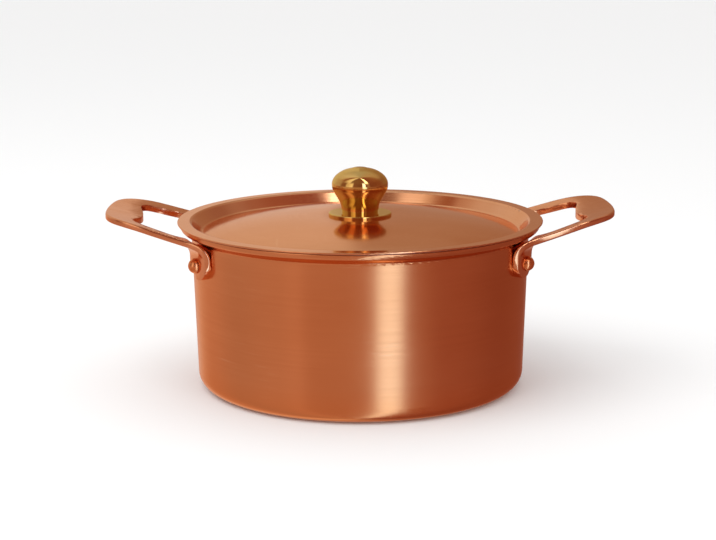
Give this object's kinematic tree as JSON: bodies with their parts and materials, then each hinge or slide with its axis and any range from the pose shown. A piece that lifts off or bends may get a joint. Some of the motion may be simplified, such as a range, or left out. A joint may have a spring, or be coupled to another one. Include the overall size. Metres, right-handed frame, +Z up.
{
  "type": "stockpot",
  "caption": "Copper stockpot with riveted loop handles and a lift-off lid with a turned brass knob",
  "frame": {"origin": "middle of the flat base, on the surface that the pot stands on", "axes": "+Z up along the pot's axis; the two handles lie along +X and -X; the front is -Y"},
  "size_m": [0.366, 0.2646, 0.1584],
  "materials": {
    "copper": "finely brushed round the wall",
    "handle_copper": "smooth polished",
    "rivet_copper": "smooth polished",
    "lid_copper": "polished",
    "brass": "mirror polished",
    "lining_steel": "brushed",
    "fastener_steel": "plain"
  },
  "bodies": {
    "pot": {"copper_shell": "copper", "steel_lining": "lining_steel", "left_handle": "handle_copper", "right_handle": "handle_copper", "left_front_rivet": "rivet_copper", "left_rear_rivet": "rivet_copper", "right_front_rivet": "rivet_copper", "right_rear_rivet": "rivet_copper"},
    "lid": {"lid_shell": "lid_copper", "lid_lining": "lining_steel", "knob_flange": "brass", "knob": "brass", "knob_screw": "fastener_steel", "knob_screw_washer": "fastener_steel"}
  },
  "joints": [
    {"name": "lid_lift", "type": "slide", "parent": "pot", "child": "lid", "axis": [0, 0, 1], "range_m": [0, 0.14]}
  ]
}
